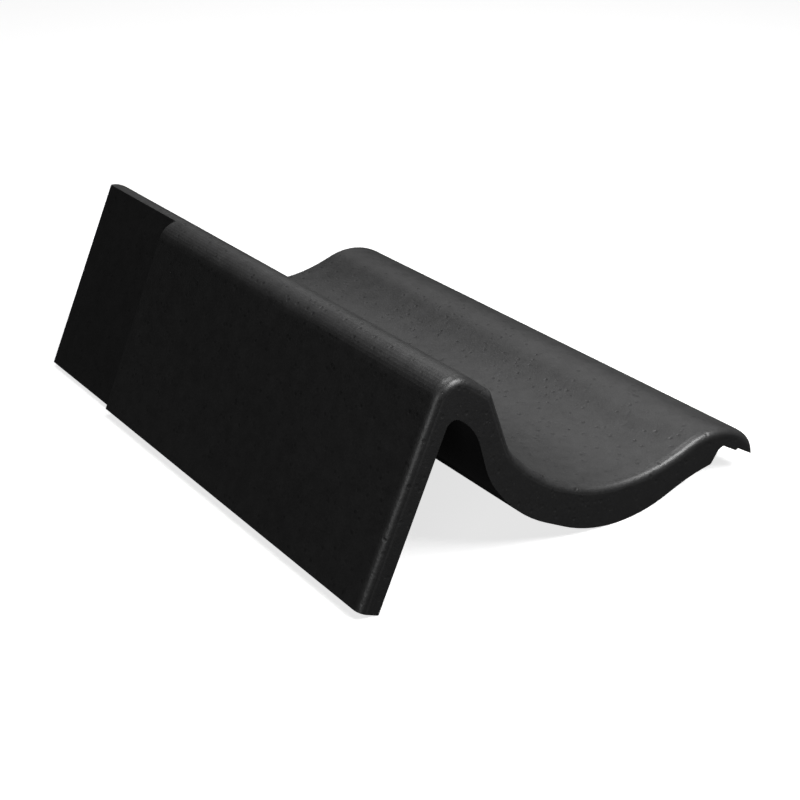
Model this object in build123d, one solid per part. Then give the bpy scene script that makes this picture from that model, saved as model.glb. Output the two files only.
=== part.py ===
from build123d import *
import math
import os

os.makedirs("parts", exist_ok=True)

# A left-hand verge tile of concrete: one moulded piece with a constant section.
# The section lies in X and Z: X runs across the tile from the flap's inner face,
# and Z runs up from the flap's lower edge. The length runs along Y, from tail to head.
# Sizes are millimetres and slopes are degrees.

# Length
LENGTH = 420.0

# Side flap and the roll that carries it
FLAP_THICKNESS = 14.5
ROLL_HEIGHT = 145.0
SHOULDER_RADIUS = 16.0
CAP_RADIUS = 30.0
CAP_SLOPE = 15.0
ROLL_WIDTH = 40.2
ROLL_CORNER_RADIUS = 6.0
FLANK_SLOPE = 46.0
FLANK_FOOT_RADIUS = 25.0

# Trough and crest of the upper face
PAN_PITCH = 248.5
CREST_RISE = 0.8
CREST_RADIUS = 56.0
TROUGH_DEPTH = 53.6
TROUGH_OFFSET = 7.25

# Underside of the pan: two equal arcs joined by a flat that falls towards the crest
PAN_THICKNESS = 26.1
UNDER_SHIFT = 4.7
UNDER_TIGHTER = 20.1
UNDER_FLAT = 17.2
UNDER_FLAT_SLOPE = 4.0
UNDER_FALL_SLOPE = 38.2
UNDER_CREST_RADIUS = 150.0

# Hollow under the roll, whose flank gives a share of its length to the rounding at its foot
HOLLOW_CORNER_RADIUS = 6.3
HOLLOW_CAP_RADIUS = 38.0
HOLLOW_CAP_SLOPE = 10.0
HOLLOW_FLANK_SLOPE = 50.0
HOLLOW_FOOT_SHARE = 0.28

# Overlapping lip at the crest's far side, with its step and groove underneath
LIP_START = 17.0
LIP_RADIUS = 24.0
LIP_DEPTH = 14.6
LIP_WIDTH = 41.8
LIP_FALL = 6.0
STEP_HEIGHT = 10.4
STEP_DRAFT = 11.0
STEP_CHAMFER_SLOPE = 46.0
GROOVE_WIDTH = 20.3
GROOVE_DEPTH = 1.6
GROOVE_RUN = 1.5
STEP_ROUND = 1.5

# Rounded tail edge, and the recessed tongue at the flap's head end, which leans outward
TAIL_ROUND = 6.0
TONGUE_LENGTH = 100.0
TONGUE_RECESS = 6.2
TONGUE_LEAN = 0.9
TONGUE_STEP_ROUND = 2.0

# Hanging nib under the trough, near the head
NIB_X = 99.0
NIB_WIDTH = 28.0
NIB_LENGTH = 20.0
NIB_DROP = 12.5
NIB_SETBACK = 16.0
NIB_DRAFT = 15.0
NIB_ROUND = 2.0
NIB_ROOT_ROUND = 3.0

# Nail hole, tailward of the nib so that the nail meets the batten
NAIL_HOLE_DIAMETER = 6.0
NAIL_HOLE_FROM_NIB = 20.0

# Lines and centres that follow from the sizes
flap_outer_x = -FLAP_THICKNESS
shoulder_centre = (flap_outer_x + SHOULDER_RADIUS, ROLL_HEIGHT - SHOULDER_RADIUS)
cap_centre = (shoulder_centre[0], ROLL_HEIGHT - CAP_RADIUS)

crest_x = shoulder_centre[0] + PAN_PITCH
crest_height = ROLL_HEIGHT + CREST_RISE
trough_x = shoulder_centre[0] + PAN_PITCH / 2 - TROUGH_OFFSET
trough_to_crest = crest_x - trough_x
radii_sum = (TROUGH_DEPTH**2 + trough_to_crest**2) / (2 * TROUGH_DEPTH)
trough_radius = radii_sum - CREST_RADIUS
rise_slope = math.degrees(math.asin(trough_to_crest / radii_sum))
trough_height = crest_height - TROUGH_DEPTH
trough_centre = (trough_x, trough_height + trough_radius)
crest_centre = (crest_x, crest_height - CREST_RADIUS)

under_radius = trough_radius - UNDER_TIGHTER
fall_centre = (trough_x - UNDER_SHIFT, trough_height - PAN_THICKNESS + under_radius)
flat_turn = math.radians(-UNDER_FLAT_SLOPE)
flat_run = (UNDER_FLAT * math.cos(flat_turn), UNDER_FLAT * math.sin(flat_turn))
rise_centre = (fall_centre[0] + flat_run[0], fall_centre[1] + flat_run[1])


def on_circle(centre, radius, degrees):
    """Point of the section on a circle, at an angle from the X direction."""
    turn = math.radians(degrees)
    return centre[0] + radius * math.cos(turn), centre[1] + radius * math.sin(turn)


def angle_of(centre, point):
    """Angle of a point about a centre, in degrees from the X direction."""
    return math.degrees(math.atan2(point[1] - centre[1], point[0] - centre[0]))


def arc(centre, radius, start, end):
    """Arc between two angles about a centre, through the point half way."""
    middle = on_circle(centre, radius, (start + end) / 2)
    return ThreePointArc(on_circle(centre, radius, start), middle, on_circle(centre, radius, end))


def meet(point_a, slope_a, point_b, slope_b):
    """Crossing of two sloped lines, each given by a point and its slope."""
    rise_a = math.tan(math.radians(slope_a))
    rise_b = math.tan(math.radians(slope_b))
    x = (point_b[1] - point_a[1] + rise_a * point_a[0] - rise_b * point_b[0]) / (rise_a - rise_b)
    return x, point_a[1] + rise_a * (x - point_a[0])


def leave_circle(point, slope, centre, radius):
    """Where a sloped line from a point runs out of a circle, in the direction of X."""
    turn = math.radians(slope)
    offset = Vector(centre[0] - point[0], centre[1] - point[1])
    along = offset.X * math.cos(turn) + offset.Y * math.sin(turn)
    aside = offset.Y * math.cos(turn) - offset.X * math.sin(turn)
    reach = along + math.sqrt(radius**2 - aside**2)
    return point[0] + reach * math.cos(turn), point[1] + reach * math.sin(turn)


def upper_outline():
    """Outer side of the section, from the flap's lower corner over roll and crest to the lip."""
    cap_end = on_circle(cap_centre, CAP_RADIUS, 90 - CAP_SLOPE)
    corner_x = flap_outer_x + ROLL_WIDTH
    corner = (corner_x, cap_end[1] - (corner_x - cap_end[0]) * math.tan(math.radians(CAP_SLOPE)))
    foot = leave_circle(corner, -FLANK_SLOPE, trough_centre, trough_radius)
    rise = angle_of(trough_centre, crest_centre)
    lip_turn = math.degrees(math.acos(LIP_START / CREST_RADIUS))
    lip_centre = on_circle(crest_centre, CREST_RADIUS - LIP_RADIUS, lip_turn)
    lip_end = math.degrees(math.asin((crest_height - LIP_DEPTH - lip_centre[1]) / LIP_RADIUS))
    lines = [
        Line((flap_outer_x, 0), (flap_outer_x, shoulder_centre[1])),
        arc(shoulder_centre, SHOULDER_RADIUS, 180, 90),
        arc(cap_centre, CAP_RADIUS, 90, 90 - CAP_SLOPE),
        Line(cap_end, corner),
        Line(corner, foot),
        arc(trough_centre, trough_radius, angle_of(trough_centre, foot), rise),
        arc(crest_centre, CREST_RADIUS, rise + 180, lip_turn),
        arc(lip_centre, LIP_RADIUS, lip_turn, lip_end),
    ]
    return lines, {"corner": corner, "foot": foot}


def lip_underside(tip):
    """Underside of the lip, from its tip back to the step under the crest."""
    groove_x = tip[0] - GROOVE_WIDTH
    groove_top = (groove_x, tip[1] + GROOVE_WIDTH * math.tan(math.radians(LIP_FALL)))
    tooth = (groove_x - GROOVE_RUN, groove_top[1] - GROOVE_DEPTH)
    step_x = tip[0] - LIP_WIDTH
    under_crest_centre = on_circle(rise_centre, under_radius + UNDER_CREST_RADIUS, rise_slope - 90)
    step_turn = math.degrees(math.acos((step_x - under_crest_centre[0]) / UNDER_CREST_RADIUS))
    step_foot = on_circle(under_crest_centre, UNDER_CREST_RADIUS, step_turn)
    step_lean = STEP_HEIGHT * math.tan(math.radians(STEP_DRAFT))
    step_top = (step_foot[0] + step_lean, step_foot[1] + STEP_HEIGHT)
    seat = meet(step_top, STEP_CHAMFER_SLOPE, tooth, -LIP_FALL)
    lines = [
        Polyline(tip, groove_top, tooth, seat, step_top, step_foot),
        arc(under_crest_centre, UNDER_CREST_RADIUS, step_turn, rise_slope + 90),
    ]
    return lines, {"seat": seat, "step_top": step_top, "step_foot": step_foot}


def hollow_outline():
    """Underside of the trough and the hollow under the roll, down to the flap's inner corner."""
    flat_start = on_circle(fall_centre, under_radius, -90 - UNDER_FLAT_SLOPE)
    flat_end = on_circle(rise_centre, under_radius, -90 - UNDER_FLAT_SLOPE)
    foot = on_circle(fall_centre, under_radius, -90 - UNDER_FALL_SLOPE)
    cap_turn = 90 - HOLLOW_CAP_SLOPE
    flank_turn = 90 - HOLLOW_FLANK_SLOPE
    flank_normal = on_circle((0, 0), 1, flank_turn)
    cap_from_corner = on_circle((0, 0), HOLLOW_CORNER_RADIUS - HOLLOW_CAP_RADIUS, cap_turn)
    flank_reach = foot[0] * flank_normal[0] + foot[1] * flank_normal[1] - HOLLOW_CAP_RADIUS
    cap_x = HOLLOW_CORNER_RADIUS + cap_from_corner[0]
    cap_z = (flank_reach - cap_x * flank_normal[0]) / flank_normal[1]
    corner_centre = (HOLLOW_CORNER_RADIUS, cap_z - cap_from_corner[1])
    cap_end = on_circle((cap_x, cap_z), HOLLOW_CAP_RADIUS, flank_turn)
    foot_kink = math.radians(HOLLOW_FLANK_SLOPE - UNDER_FALL_SLOPE)
    foot_radius = HOLLOW_FOOT_SHARE * math.dist(foot, cap_end) / math.tan(foot_kink / 2)
    lines = [
        arc(rise_centre, under_radius, rise_slope - 90, -90 - UNDER_FLAT_SLOPE),
        Line(flat_end, flat_start),
        arc(fall_centre, under_radius, -90 - UNDER_FLAT_SLOPE, -90 - UNDER_FALL_SLOPE),
        Line(foot, cap_end),
        arc((cap_x, cap_z), HOLLOW_CAP_RADIUS, flank_turn, cap_turn),
        arc(corner_centre, HOLLOW_CORNER_RADIUS, cap_turn, 180),
        Polyline((0, corner_centre[1]), (0, 0), (flap_outer_x, 0)),
    ]
    return lines, {"foot": foot, "foot_radius": foot_radius}


def round_corner(face, point, radius):
    """The face with its corner nearest to a point rounded."""
    place = Vector(point[0], point[1])
    corner = min(face.vertices(), key=lambda vertex: (Vector(*vertex) - place).length)
    return fillet(corner, radius)


def section():
    """Closed section of the tile, drawn in a plane whose Y is the tile's Z."""
    upper, upper_corners = upper_outline()
    lip_tip = upper[-1] @ 1
    lip, lip_corners = lip_underside((lip_tip.X, lip_tip.Y))
    hollow, hollow_values = hollow_outline()
    face = make_face(Curve() + upper + lip + hollow)
    face = round_corner(face, upper_corners["corner"], ROLL_CORNER_RADIUS)
    face = round_corner(face, upper_corners["foot"], FLANK_FOOT_RADIUS)
    face = round_corner(face, hollow_values["foot"], hollow_values["foot_radius"])
    for name in ("seat", "step_top", "step_foot"):
        face = round_corner(face, lip_corners[name], STEP_ROUND)
    return face


def looks_out(face):
    """True for a side face on the weather side: it looks up, or outward from the flap."""
    normal = face.normal_at()
    return normal.Z > 0.05 or (normal.X < -0.9 and abs(normal.Z) < 0.05)


def round_tail(body):
    """Round the tail's edge along every face of the weather side."""
    sides = [face for face in body.faces() if abs(face.normal_at().Y) < 0.1]
    tail_edges = [face.edges().sort_by(Axis.Y)[0] for face in sides if looks_out(face)]
    return fillet(tail_edges, TAIL_ROUND)


def cut_tongue(body):
    """Set the flap's head end back, so that the next tile's flap laps over it."""
    step_y = LENGTH - TONGUE_LENGTH
    tongue_x = flap_outer_x + TONGUE_RECESS
    depth = TONGUE_RECESS + FLAP_THICKNESS
    cut = Pos(0, 0, -ROLL_HEIGHT) * Box(
        depth, TONGUE_LENGTH + depth, 3 * ROLL_HEIGHT, align=(Align.MAX, Align.MIN, Align.MIN)
    )
    body = body - Pos(tongue_x, step_y, 0) * Rot(0, TONGUE_LEAN, 0) * cut
    step_edges = body.edges().filter_by_position(Axis.Y, step_y - 0.01, step_y + 0.01)
    outer = [edge for edge in step_edges if edge.center().Z > 1 and edge.center().X < tongue_x - 1]
    return fillet(outer, TONGUE_STEP_ROUND)


def nib():
    """Hanging nib: its upright face bears on the batten, the other leans with the mould."""
    face_y = LENGTH - NIB_SETBACK - NIB_LENGTH
    tip_z = trough_height - PAN_THICKNESS - NIB_DROP
    root_z = trough_height - PAN_THICKNESS / 2
    back_lean = (root_z - tip_z) * math.tan(math.radians(NIB_DRAFT))
    side = Polyline(
        (face_y, tip_z),
        (face_y + NIB_LENGTH - back_lean, tip_z),
        (face_y + NIB_LENGTH, root_z),
        (face_y, root_z),
        close=True,
    )
    block = extrude(Plane.YZ.offset(NIB_X - NIB_WIDTH / 2) * make_face(side), NIB_WIDTH)
    tip_edges = block.faces().sort_by(Axis.Z)[0].edges()
    return fillet(tip_edges, NIB_ROUND)


def add_nib(body):
    """Join the nib to the trough's underside, with a rounding all round its root."""
    block = nib()
    joined = body + block
    return fillet(new_edges(body, block, combined=joined), NIB_ROOT_ROUND)


def nail_hole():
    """Straight hole through the trough, square to the tile."""
    hole_y = LENGTH - NIB_SETBACK - NIB_LENGTH - NAIL_HOLE_FROM_NIB
    return Pos(NIB_X, hole_y, trough_height) * Cylinder(NAIL_HOLE_DIAMETER / 2, 4 * PAN_THICKNESS)


def rest_lean():
    """Lean of the tile that lies on the flap's inner corner and on the trough or the nib."""
    reach = math.hypot(*rise_centre)
    trough_lean = angle_of((0, 0), rise_centre) - math.degrees(math.asin(under_radius / reach))
    nib_corner = (NIB_X + NIB_WIDTH / 2, trough_height - PAN_THICKNESS - NIB_DROP)
    return min(trough_lean, angle_of((0, 0), nib_corner))


body = extrude(Plane.XZ * section(), -LENGTH)
body = round_tail(body)
body = cut_tongue(body)
body = add_nib(body) - nail_hole()

# The tile as it lies on a level floor, with the origin under the middle of its outer box
tile = Rot(0, rest_lean(), 0) * body
box = tile.bounding_box()
tile = Pos(-box.center().X, -box.center().Y, -box.min.Z) * tile
tile.label = "verge_tile"
tile.color = Color(0.12, 0.12, 0.125)

export_step(tile, "parts/verge_tile.step")
print("lean", round(rest_lean(), 3), "degrees, size", tile.bounding_box().size)
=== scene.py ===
"""Dresses the verge tile in black concrete and lights it on a pale studio floor."""

import logging
import math
from dataclasses import dataclass, field
from enum import Enum
from typing import Any

import bmesh
import bpy
from mathutils import Matrix, Vector, noise


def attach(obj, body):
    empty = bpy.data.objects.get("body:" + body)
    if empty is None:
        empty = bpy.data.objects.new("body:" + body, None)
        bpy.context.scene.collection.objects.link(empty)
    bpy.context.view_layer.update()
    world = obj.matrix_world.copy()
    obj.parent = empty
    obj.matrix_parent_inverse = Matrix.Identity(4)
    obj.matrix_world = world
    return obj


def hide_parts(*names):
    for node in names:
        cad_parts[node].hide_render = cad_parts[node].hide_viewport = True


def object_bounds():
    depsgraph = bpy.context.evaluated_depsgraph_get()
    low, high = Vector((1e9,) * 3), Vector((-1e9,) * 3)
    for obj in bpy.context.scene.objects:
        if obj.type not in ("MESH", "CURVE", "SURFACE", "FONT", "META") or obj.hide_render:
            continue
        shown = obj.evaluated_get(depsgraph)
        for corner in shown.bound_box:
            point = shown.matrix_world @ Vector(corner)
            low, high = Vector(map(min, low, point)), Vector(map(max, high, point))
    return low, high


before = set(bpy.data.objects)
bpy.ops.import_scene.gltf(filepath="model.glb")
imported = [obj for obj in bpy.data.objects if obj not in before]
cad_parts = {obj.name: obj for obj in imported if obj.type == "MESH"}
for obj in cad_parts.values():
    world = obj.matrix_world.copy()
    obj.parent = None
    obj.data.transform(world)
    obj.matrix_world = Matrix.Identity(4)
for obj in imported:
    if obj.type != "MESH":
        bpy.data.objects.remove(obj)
cad_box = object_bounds()

NODE = "verge_tile"
BODY = "root"
MM = 0.001

log = logging.getLogger("verge_tile_scene")

Colour = tuple[float, float, float, float]
Place = tuple[float, float, float]
Span = tuple[float, float]

WHITE: Colour = (1.0, 1.0, 1.0, 1.0)


class Side(Enum):
    """Names of the values that the mesh keeps about its surface.

    The first is kept at every corner of a face, and the others at every vertex.
    """

    WEATHER = "weather"
    UPWARD = "upward"
    WEAR = "wear"


class Value:
    """One output of a node, on which Python's operators add Math nodes."""

    def __init__(self, graph: "Graph", socket: bpy.types.NodeSocket) -> None:
        """Keep the graph and the socket that carries the value."""
        self.graph = graph
        self.socket = socket

    def _math(self, operation: str, first: "Value | float", second: "Value | float") -> "Value":
        """Add one Math node and give its result."""
        return self.graph.add("ShaderNodeMath", {"operation": operation}, {0: first, 1: second})

    def __add__(self, other: "Value | float") -> "Value":
        """Sum of the two."""
        return self._math("ADD", self, other)

    def __radd__(self, other: float) -> "Value":
        """Sum with a number on the left."""
        return self._math("ADD", other, self)

    def __sub__(self, other: "Value | float") -> "Value":
        """Difference of the two."""
        return self._math("SUBTRACT", self, other)

    def __rsub__(self, other: float) -> "Value":
        """Difference from a number on the left."""
        return self._math("SUBTRACT", other, self)

    def __mul__(self, other: "Value | float") -> "Value":
        """Product of the two."""
        return self._math("MULTIPLY", self, other)

    def __rmul__(self, other: float) -> "Value":
        """Product with a number on the left."""
        return self._math("MULTIPLY", other, self)

    def within(self, span: Span) -> "Value":
        """Smooth step of the value.

        Args:
            span: The value at which the step is still 0, and the one at which it is 1. The
                second may be the smaller of the two.

        Returns:
            A value from 0 to 1.
        """
        low, high = span
        settings = {"interpolation_type": "SMOOTHSTEP"}
        ends = {"Value": self, "From Min": low, "From Max": high, "To Min": 0.0, "To Max": 1.0}
        return self.graph.add("ShaderNodeMapRange", settings, ends)


class Graph:
    """The node tree of a material or of the world."""

    def __init__(self, tree: bpy.types.NodeTree) -> None:
        """Keep the tree, and empty it."""
        self.tree = tree
        tree.nodes.clear()

    def node(
        self,
        kind: str,
        settings: dict[str, Any] | None = None,
        inputs: dict[str | int, Any] | None = None,
    ) -> bpy.types.Node:
        """Add one node of any type.

        Args:
            kind: The node's type.
            settings: Its properties, which are set before its sockets.
            inputs: A value or a link for each named or numbered socket.

        Returns:
            The node.
        """
        node = self.tree.nodes.new(kind)
        for name, setting in (settings or {}).items():
            setattr(node, name, setting)
        for key, value in (inputs or {}).items():
            if isinstance(value, Value):
                self.tree.links.new(value.socket, node.inputs[key])
            else:
                node.inputs[key].default_value = value
        return node

    def add(
        self,
        kind: str,
        settings: dict[str, Any] | None = None,
        inputs: dict[str | int, Any] | None = None,
        output: str | int = 0,
    ) -> Value:
        """Add one node of any type, and give one of its outputs.

        Args:
            kind: The node's type.
            settings: Its properties.
            inputs: A value or a link for each named or numbered socket.
            output: The output that is wanted.

        Returns:
            That output.
        """
        return Value(self, self.node(kind, settings, inputs).outputs[output])

    def mix(self, factor: Value | float, first: Value | Colour, second: Value | Colour) -> Value:
        """Blend two colours.

        Args:
            factor: 0 for the first and 1 for the second.
            first: A colour.
            second: The other colour.

        Returns:
            The colour between them.
        """
        inputs = {0: factor, 6: first, 7: second}
        return self.add("ShaderNodeMix", {"data_type": "RGBA"}, inputs, output=2)

    def attribute(self, side: Side) -> Value:
        """Value that the mesh keeps about its surface."""
        return self.add("ShaderNodeAttribute", {"attribute_name": side.value}, output="Fac")

    def noise(self, place: Value, waves: float, layers: float, rough: float) -> Value:
        """Cloudy noise.

        Args:
            place: Where it is read.
            waves: Waves in a metre.
            layers: Number of finer layers.
            rough: Strength of each finer layer.

        Returns:
            A value around 0.5.
        """
        inputs = {"Vector": place, "Scale": waves, "Detail": layers, "Roughness": rough}
        return self.add("ShaderNodeTexNoise", {}, inputs, output="Fac")

    def cells(self, place: Value, points: float) -> tuple[Value, Value]:
        """Scattered points with a random number each.

        Args:
            place: Where they are read.
            points: Points in a metre.

        Returns:
            The distance to the nearest point, and that point's number from 0 to 1.
        """
        node = self.node("ShaderNodeTexVoronoi", {}, {"Vector": place, "Scale": points})
        colour = Value(self, node.outputs["Color"])
        number = self.add("ShaderNodeSeparateColor", {}, {"Color": colour}, output="Red")
        return Value(self, node.outputs["Distance"]), number


def new_material(name: str) -> tuple[bpy.types.Material, Graph]:
    """Make a material that has no nodes yet.

    Args:
        name: Its name.

    Returns:
        The material and the graph of its nodes.
    """
    material = bpy.data.materials.new(name)
    material.use_nodes = True
    return material, Graph(material.node_tree)


@dataclass(frozen=True)
class Skin:
    """Masks and noises that the concrete's colour, roughness and height are made from."""

    weather: Value
    upward: Value
    wear: Value
    tongue: Value
    patches: Value
    clouds: Value
    coarse: Value
    grain: Value
    pits: Value
    dimples: Value
    specks: Value


@dataclass(frozen=True)
class ConcreteFinish:
    """Black through-coloured concrete, smooth on the weather side and rawer elsewhere.

    Waves and points are counted in a metre, a radius and a rim are in shares of the distance
    between two points, and heights and depths are in millimetres.
    """

    name: str = "black_concrete"
    dark: Colour = (0.0052, 0.0052, 0.0055, 1.0)
    light: Colour = (0.0140, 0.0140, 0.0145, 1.0)
    # Pale colour of dust and wear, also used for painted top light on upward faces.
    pale_dust_and_top_light: Colour = (0.1180, 0.1180, 0.1180, 1.0)
    sand: Colour = (0.1100, 0.1060, 0.0980, 1.0)

    patch_waves: float = 9.0
    patch_rough: float = 0.5
    cloud_waves: float = 105.0
    coarse_waves: float = 330.0
    grain_waves: float = 950.0
    noise_rough: float = 0.6
    noise_layers: float = 3.0
    grain_layers: float = 2.0
    contrast: Span = (0.2, 0.8)

    pit_points: float = 85.0
    pit_choice: Span = (0.84, 1.0)
    pit_radius: float = 0.08
    pit_rim: Span = (0.0, 0.03)
    dimple_points: float = 190.0
    dimple_choice: Span = (0.15, 0.75)
    dimple_rim: Span = (0.34, 0.08)
    speck_points: float = 520.0
    speck_choice: Span = (0.93, 0.96)
    speck_rim: Span = (0.26, 0.12)

    tongue_along: Span = (109.5 * MM, 110.5 * MM)
    tongue_across: Span = (-90.0 * MM, -100.0 * MM)
    roll_upward: Span = (0.40, 0.55)

    patch_tone: float = 0.15
    cloud_tone: float = 0.30
    grain_tone: float = 0.55
    # Share of brightness kept on the tail, head and underside: painted shade, partly the real difference
    # between raw and coated concrete.
    raw_and_shaded_share: float = 0.25
    # Painted shade in the dimples, on the recessed tongue and in the pits.
    dimple_painted_shade: float = 0.60
    tongue_painted_shade: float = 0.35
    pit_painted_shade: float = 0.70

    # The pale cover is part dust and part painted top light on upward faces; the tongue and the dimples
    # lose some of it, which is painted shade.
    patch_cover: float = 0.25
    cloud_cover: float = 0.45
    grain_cover: float = 0.45
    dust_and_light_share: float = 1.02
    tongue_loss: float = 0.30
    dimple_loss: float = 0.35
    worn_dust: float = 0.20
    worn_grain: Span = (0.35, 0.75)
    raw_specks: float = 0.30
    smooth_specks: float = 0.15

    smooth_roughness: float = 0.41
    raw_roughness: float = 0.62
    cloud_roughness: float = 0.08
    grain_roughness: float = 0.12
    pit_roughness: float = 0.20
    specular: float = 0.8

    bump: float = 0.8
    grain_height: float = 0.16
    smooth_loss: float = 0.45
    coarse_height: float = 0.22
    pit_depth: float = 0.45
    dimple_depth: float = 0.26
    speck_height: float = 0.05

    def skin(self, graph: Graph) -> Skin:
        """Add the masks and the noises.

        Args:
            graph: The material's graph.

        Returns:
            All of them.
        """
        place = graph.add("ShaderNodeTexCoord", output="Object")
        upward = graph.attribute(Side.UPWARD)
        weather = graph.attribute(Side.WEATHER)
        axes = graph.node("ShaderNodeSeparateXYZ", {}, {"Vector": place})
        across, along = Value(graph, axes.outputs["X"]), Value(graph, axes.outputs["Y"])
        # The tongue at the head end, on the weather side below the roll, is marked for painted shade.
        head = along.within(self.tongue_along) * across.within(self.tongue_across) * weather
        pit_gap, pit_number = graph.cells(place, self.pit_points)
        dimple_gap, dimple_number = graph.cells(place, self.dimple_points)
        speck_gap, speck_number = graph.cells(place, self.speck_points)
        pit_size = pit_number.within(self.pit_choice) * self.pit_radius
        return Skin(
            weather=weather,
            upward=upward,
            wear=graph.attribute(Side.WEAR),
            tongue=head * (1.0 - upward.within(self.roll_upward)),
            patches=graph.noise(place, self.patch_waves, self.noise_layers, self.patch_rough),
            clouds=graph.noise(place, self.cloud_waves, self.noise_layers, self.noise_rough),
            coarse=graph.noise(place, self.coarse_waves, self.noise_layers, self.noise_rough),
            grain=graph.noise(place, self.grain_waves, self.grain_layers, self.noise_rough),
            pits=(pit_size - pit_gap).within(self.pit_rim),
            dimples=dimple_gap.within(self.dimple_rim) * dimple_number.within(self.dimple_choice),
            specks=speck_gap.within(self.speck_rim) * speck_number.within(self.speck_choice),
        )

    def colour(self, graph: Graph, skin: Skin) -> Value:
        """Add the mottled black with painted shade, the pale cover of dust and painted top light, the
        wear, the sand specks, and the painted shade of the pits that lie over it.

        Args:
            graph: The material's graph.
            skin: Its masks and noises.

        Returns:
            The colour.
        """
        clouds = skin.clouds.within(self.contrast) * self.cloud_tone
        grain = skin.grain.within(self.contrast) * self.grain_tone
        tone = clouds + grain + skin.patches * self.patch_tone
        # The tail, head and underside are darkened: painted shade, partly the real difference between
        # raw and coated concrete.
        raw_and_shaded = self.raw_and_shaded_share + (1.0 - self.raw_and_shaded_share) * skin.weather
        # The dimples and the tongue are darkened too: painted shade.
        painted_shade = (1.0 - self.dimple_painted_shade * skin.dimples) * raw_and_shaded * (1.0 - self.tongue_painted_shade * skin.tongue)
        body = graph.mix(tone * painted_shade, self.dark, self.light)

        # Upward faces are paled by how far they look up: part settled dust, part painted top light. The
        # tongue and the dimples get less of it, which is painted shade.
        patches = skin.patches * self.patch_cover
        cover = patches + skin.clouds * self.cloud_cover + skin.grain * self.grain_cover
        upward_dust_and_light = skin.upward * cover * (self.dust_and_light_share - self.tongue_loss * skin.tongue)
        dusted_and_lit = graph.mix(upward_dust_and_light * (1.0 - self.dimple_loss * skin.dimples), body, self.pale_dust_and_top_light)
        rubbed = skin.wear * skin.grain.within(self.worn_grain) * self.worn_dust
        worn = graph.mix(rubbed, dusted_and_lit, self.pale_dust_and_top_light)
        bare = self.raw_specks - (self.raw_specks - self.smooth_specks) * skin.weather
        sanded = graph.mix(skin.specks * bare, worn, self.sand)
        # Pits are darkened: painted shade inside them.
        return graph.mix(skin.pits * self.pit_painted_shade, sanded, self.dark)

    def roughness(self, skin: Skin) -> Value:
        """Add the roughness: satin where the mould pressed the surface, and dull elsewhere.

        Args:
            skin: The masks and noises.

        Returns:
            The roughness.
        """
        base = skin.weather * (self.smooth_roughness - self.raw_roughness) + self.raw_roughness
        clouds = (skin.clouds - 0.5) * self.cloud_roughness
        return base + clouds + (skin.grain - 0.5) * self.grain_roughness + skin.pits * self.pit_roughness

    def relief(self, graph: Graph, skin: Skin) -> Value:
        """Add the fine relief that is too small for the mesh.

        Args:
            graph: The material's graph.
            skin: Its masks and noises.

        Returns:
            The bumped normal.
        """
        fine = (skin.grain - 0.5) * (1.0 - self.smooth_loss * skin.weather) * self.grain_height
        cast = fine + (skin.coarse - 0.5) * self.coarse_height
        sunk = cast - skin.pits * self.pit_depth - skin.dimples * self.dimple_depth
        height = sunk + skin.specks * self.speck_height
        inputs = {"Strength": self.bump, "Distance": MM, "Height": height}
        return graph.add("ShaderNodeBump", {}, inputs, output="Normal")

    def build(self) -> bpy.types.Material:
        """Make the material.

        Returns:
            The material, which reads the values that the mesh keeps.
        """
        material, graph = new_material(self.name)
        skin = self.skin(graph)
        inputs = {
            "Base Color": self.colour(graph, skin),
            "Roughness": self.roughness(skin),
            "Specular IOR Level": self.specular,
            "Normal": self.relief(graph, skin),
        }
        surface = graph.add("ShaderNodeBsdfPrincipled", {}, inputs)
        graph.node("ShaderNodeOutputMaterial", {}, {"Surface": surface})
        return material


@dataclass(frozen=True)
class FloorFinish:
    """Pale floor that glows a little, and throws almost no light back at the tile.

    Its underside is clear, so that the tile's own underside can be looked at.
    """

    name: str = "pale_floor"
    colour: Colour = (0.80, 0.80, 0.80, 1.0)
    glow: float = 0.75
    card: Colour = (0.02, 0.02, 0.02, 1.0)
    card_glow: float = 0.012

    def build(self) -> bpy.types.Material:
        """Make the material.

        Returns:
            The material: the camera sees its pale colour, and the tile a dark card.
        """
        material, graph = new_material(self.name)
        seen = graph.add("ShaderNodeLightPath", output="Is Camera Ray")
        behind = graph.add("ShaderNodeNewGeometry", output="Backfacing")
        inputs = {
            "Base Color": graph.mix(seen, self.card, self.colour),
            "Roughness": 1.0,
            "Specular IOR Level": 0.0,
            "Emission Color": WHITE,
            "Emission Strength": seen * (self.glow - self.card_glow) + self.card_glow,
        }
        top = graph.add("ShaderNodeBsdfPrincipled", {}, inputs)
        clear = graph.add("ShaderNodeBsdfTransparent")
        surface = graph.add("ShaderNodeMixShader", {}, {0: behind, 1: top, 2: clear})
        graph.node("ShaderNodeOutputMaterial", {}, {"Surface": surface})
        return material


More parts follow.
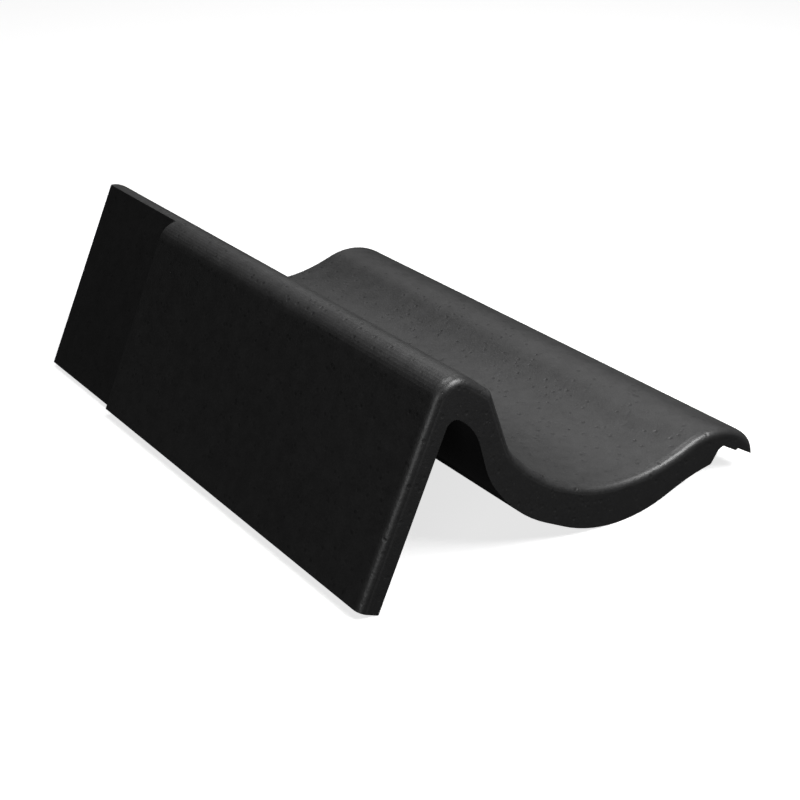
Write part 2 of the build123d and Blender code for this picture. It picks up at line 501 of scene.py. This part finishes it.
@dataclass
class VergeTile:
    """The moulded tile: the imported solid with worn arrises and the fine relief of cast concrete."""

    name: str = "moulded_tile"
    merge_gap: float = 0.001 * MM
    arris: float = 0.5 * MM
    arris_angle: float = math.radians(30.0)
    flat_angle: float = math.radians(0.4)
    cell: float = 4.5 * MM
    cut_gap: float = 0.01 * MM
    broad_area: float = 5500.0 * MM**2
    ripple: float = 0.07 * MM
    ripple_length: float = 30.0 * MM
    chip: float = 0.8 * MM
    chip_length: float = 8.0 * MM
    chip_shift: Place = (7.0, 3.0, 1.0)
    chip_level: float = 0.3
    weather_slope: float = 0.12
    outer_share: float = 0.5
    end_share: float = 0.995
    finish: ConcreteFinish = field(default_factory=ConcreteFinish)
    mesh: bmesh.types.BMesh = field(init=False)
    worn: bmesh.types.BMLayerItem = field(init=False)
    broad: bmesh.types.BMLayerItem = field(init=False)
    lean: float = field(init=False)

    def __post_init__(self) -> None:
        """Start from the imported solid's own mesh, merged, and read the flap's lean from it."""
        self.mesh = bmesh.new()
        self.mesh.from_mesh(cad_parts[NODE].data)
        bmesh.ops.remove_doubles(self.mesh, verts=self.mesh.verts, dist=self.merge_gap)
        flap = max(self.mesh.faces, key=lambda face: -face.normal.x * face.calc_area())
        self.lean = math.atan2(flap.normal.z, -flap.normal.x)

    def wear_arrises(self) -> None:
        """Take the sharpness off every arris, and mark the faces that this makes."""
        bm = self.mesh
        self.worn = bm.faces.layers.int.new("worn")
        bmesh.ops.dissolve_limit(bm, angle_limit=self.flat_angle, verts=bm.verts, edges=bm.edges)
        arrises = [edge for edge in bm.edges if edge.calc_face_angle(0.0) > self.arris_angle]
        made = bmesh.ops.bevel(
            bm,
            geom=arrises,
            offset=self.arris,
            offset_type="OFFSET",
            affect="EDGES",
            segments=2,
            profile=0.5,
            material=-1,
            clamp_overlap=True,
        )
        for face in made["faces"]:
            face[self.worn] = 1

    def cut_cells(self, normal: Vector, broad_only: bool) -> None:
        """Cut the mesh into cells by planes that are square to a direction.

        Args:
            normal: The direction.
            broad_only: Whether the narrow strips of the curved faces stay whole.
        """
        reach = [vertex.co.dot(normal) for vertex in self.mesh.verts]
        low, high = min(reach), max(reach)
        count = int((high - low) / self.cell)
        for step in range(1, count):
            faces = [face for face in self.mesh.faces if face[self.broad] or not broad_only]
            edges = dict.fromkeys(edge for face in faces for edge in face.edges)
            verts = dict.fromkeys(vertex for face in faces for vertex in face.verts)
            bmesh.ops.bisect_plane(
                self.mesh,
                geom=[*verts, *edges, *faces],
                dist=self.cut_gap,
                plane_co=normal * (low + (high - low) * step / count),
                plane_no=normal,
            )

    def refine(self) -> None:
        """Give the long faces enough vertices to carry the relief."""
        bm = self.mesh
        self.broad = bm.faces.layers.int.new("broad")
        for face in bm.faces:
            face[self.broad] = int(face.calc_area() > self.broad_area)
        turn = Matrix.Rotation(self.lean, 3, "Y")
        self.cut_cells(Vector((0, 1, 0)), False)
        self.cut_cells(turn @ Vector((1, 0, 0)), True)
        self.cut_cells(turn @ Vector((0, 0, 1)), True)
        bmesh.ops.triangulate(bm, faces=bm.faces)
        self.order_faces()
        bm.normal_update()

    def order_faces(self) -> None:
        """Put the triangles in the order of their vertices, because the cuts leave it to chance."""
        bm = self.mesh
        bm.verts.index_update()
        base = float(len(bm.verts))

        def number(face: bmesh.types.BMFace) -> float:
            """Number of a triangle, made from the numbers of its vertices."""
            low, middle, high = sorted(vertex.index for vertex in face.verts)
            return (low * base + middle) * base + high

        bm.faces.sort(key=number)

    def is_weathered(self, normal: Vector) -> bool:
        """Tell whether the mould presses a face smooth.

        Args:
            normal: The face's normal.

        Returns:
            True if it looks up, or outward from the flap, and isn't an end of the tile.
        """
        outward = Vector((-math.cos(self.lean), 0.0, math.sin(self.lean)))
        exposed = normal.z > self.weather_slope or normal.dot(outward) > self.outer_share
        return exposed and abs(normal.y) < self.end_share

    def mark_weather_side(self) -> None:
        """Keep at the corners of every face whether it is on the smooth weather side."""
        weather = self.mesh.loops.layers.float.new(Side.WEATHER.value)
        for face in self.mesh.faces:
            smooth = float(self.is_weathered(face.normal))
            for corner in face.loops:
                corner[weather] = smooth

    @staticmethod
    def leaning(vertex: bmesh.types.BMVert) -> Vector:
        """Work out the normal of a vertex.

        Args:
            vertex: The vertex.

        Returns:
            Its normal, in which a large face counts for far more than a small one.
        """
        total = Vector()
        for corner in vertex.link_loops:
            total += corner.face.normal * corner.calc_angle() * corner.face.calc_area() ** 2
        return total.normalized()

    def depth(self, place: Vector, wear: float) -> float:
        """Work out how far the relief goes in at a place.

        Args:
            place: The place on the surface.
            wear: 1 on a worn arris, which may be chipped, and 0 elsewhere.

        Returns:
            The depth in metres.
        """
        swell = 0.5 + 0.5 * noise.noise(place / self.ripple_length)
        bite = noise.noise(place / self.chip_length + Vector(self.chip_shift)) - self.chip_level
        return self.ripple * swell + self.chip * wear * max(0.0, bite)

    def roughen(self) -> None:
        """Move every vertex inward by the relief's depth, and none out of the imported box."""
        bm = self.mesh
        upward = bm.verts.layers.float.new(Side.UPWARD.value)
        wear = bm.verts.layers.float.new(Side.WEAR.value)
        moves = []
        for vertex in bm.verts:
            normal = self.leaning(vertex)
            # How far the vertex looks up: the material paints top light with it, along with dust.
            vertex[upward] = max(0.0, normal.z)
            vertex[wear] = float(all(face[self.worn] for face in vertex.link_faces))
            moves.append(-self.depth(vertex.co, vertex[wear]) * normal)
        low, high = cad_box
        for vertex, move in zip(bm.verts, moves):
            place = vertex.co + move
            vertex.co = [min(max(place[i], low[i]), high[i]) for i in range(3)]
        bm.normal_update()

    def build(self) -> None:
        """Make the finished piece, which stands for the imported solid."""
        self.wear_arrises()
        self.refine()
        self.mark_weather_side()
        self.roughen()
        normals = [self.leaning(vertex) for vertex in self.mesh.verts]
        data = bpy.data.meshes.new(self.name)
        self.mesh.to_mesh(data)
        self.mesh.free()
        data.shade_smooth()
        data.normals_split_custom_set_from_vertices(normals)
        data.materials.append(self.finish.build())
        piece = bpy.data.objects.new(self.name, data)
        bpy.context.scene.collection.objects.link(piece)
        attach(piece, BODY)
        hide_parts(NODE)
        lean = math.degrees(self.lean)
        log.info("%s: %d triangles, lean %.2f degrees", self.name, len(data.polygons), lean)


@dataclass(frozen=True)
class Softbox:
    """A wide area light that looks at the tile."""

    name: str
    place: Place
    size: tuple[float, float]
    power: float
    aim: Place = (0.0, 0.0, 0.05)

    def build(self) -> None:
        """Add the light."""
        light = bpy.data.lights.new(self.name, "AREA")
        light.shape = "RECTANGLE"
        light.size, light.size_y = self.size
        light.energy = self.power
        lamp = bpy.data.objects.new(self.name, light)
        lamp.location = self.place
        look = Vector(self.aim) - Vector(self.place)
        lamp.rotation_euler = look.to_track_quat("-Z", "Y").to_euler()
        bpy.context.scene.collection.objects.link(lamp)
        log.info("%s: %.1f W", self.name, self.power)


@dataclass(frozen=True)
class ViewPoint:
    """The camera's place and heading. Azimuth 0 looks along +Y, and 90 along -X."""

    name: str = "photo_camera"
    place: Place = (-0.55897, -0.78167, 0.47078)
    azimuth: float = math.radians(-36.496)
    elevation: float = math.radians(25.494)
    roll: float = math.radians(1.059)
    sensor: float = 36.0
    lens: float = 66.79

    def build(self) -> None:
        """Add the camera and make it the scene's own."""
        flat = math.cos(self.elevation)
        heading = (-math.sin(self.azimuth) * flat, math.cos(self.azimuth) * flat)
        ahead = Vector((*heading, -math.sin(self.elevation)))
        right = ahead.cross(Vector((0, 0, 1))).normalized()
        level = Matrix((right, right.cross(ahead), -ahead)).transposed()
        camera = bpy.data.cameras.new(self.name)
        camera.sensor_width = self.sensor
        camera.lens = self.lens
        rig = bpy.data.objects.new(self.name, camera)
        rig.location = self.place
        rig.rotation_euler = (level @ Matrix.Rotation(self.roll, 3, "Z")).to_euler()
        bpy.context.scene.collection.objects.link(rig)
        bpy.context.scene.camera = rig
        log.info("%s: %.1f mm lens", self.name, self.lens)


@dataclass
class Studio:
    """Pale floor, weak even light, softboxes and the camera."""

    floor_name: str = "studio_floor"
    floor_half: float = 30.0
    floor_drop: float = 0.05 * MM
    fill: float = 0.008
    backdrop: float = 0.82
    floor_finish: FloorFinish = field(default_factory=FloorFinish)
    softboxes: tuple[Softbox, ...] = (
        Softbox("key_softbox", (0.40, -0.95, 0.94), (0.70, 0.22), 11.5, (0.0, -0.21, 0.05)),
        Softbox("top_softbox", (0.10, 0.15, 2.05), (1.20, 1.20), 15.0),
        Softbox("back_softbox", (1.35, 1.45, 1.55), (1.30, 1.30), 2.6),
        Softbox("side_softbox", (-1.30, -1.05, 0.45), (0.50, 0.50), 2.9),
    )
    view_point: ViewPoint = field(default_factory=ViewPoint)

    def build_floor(self) -> None:
        """Add the floor that the tile lies on."""
        bm = bmesh.new()
        bmesh.ops.create_grid(bm, x_segments=1, y_segments=1, size=self.floor_half)
        bmesh.ops.translate(bm, verts=bm.verts, vec=(0.0, 0.0, -self.floor_drop))
        data = bpy.data.meshes.new(self.floor_name)
        bm.to_mesh(data)
        bm.free()
        data.materials.append(self.floor_finish.build())
        floor = bpy.data.objects.new(self.floor_name, data)
        bpy.context.scene.collection.objects.link(floor)
        log.info("%s: %.0f m wide", self.floor_name, 2.0 * self.floor_half)

    def build_world(self) -> None:
        """Fill the room with weak even light, and show it pale to the camera."""
        world = bpy.data.worlds.new("studio_world")
        world.use_nodes = True
        graph = Graph(world.node_tree)
        seen = graph.add("ShaderNodeLightPath", output="Is Camera Ray")
        strength = seen * (self.backdrop - self.fill) + self.fill
        light = graph.add("ShaderNodeBackground", {}, {"Color": WHITE, "Strength": strength})
        graph.node("ShaderNodeOutputWorld", {}, {"Surface": light})
        bpy.context.scene.world = world
        log.info("%s: fill %.3f", world.name, self.fill)

    def build(self) -> None:
        """Set up the whole studio."""
        bpy.context.scene.view_settings.view_transform = "Standard"
        self.build_floor()
        self.build_world()
        for softbox in self.softboxes:
            softbox.build()
        self.view_point.build()


def main() -> None:
    """Build the tile and the studio."""
    logging.basicConfig(level=logging.INFO, format="%(name)s: %(message)s")
    VergeTile().build()
    Studio().build()


if __name__ == "__main__":
    main()
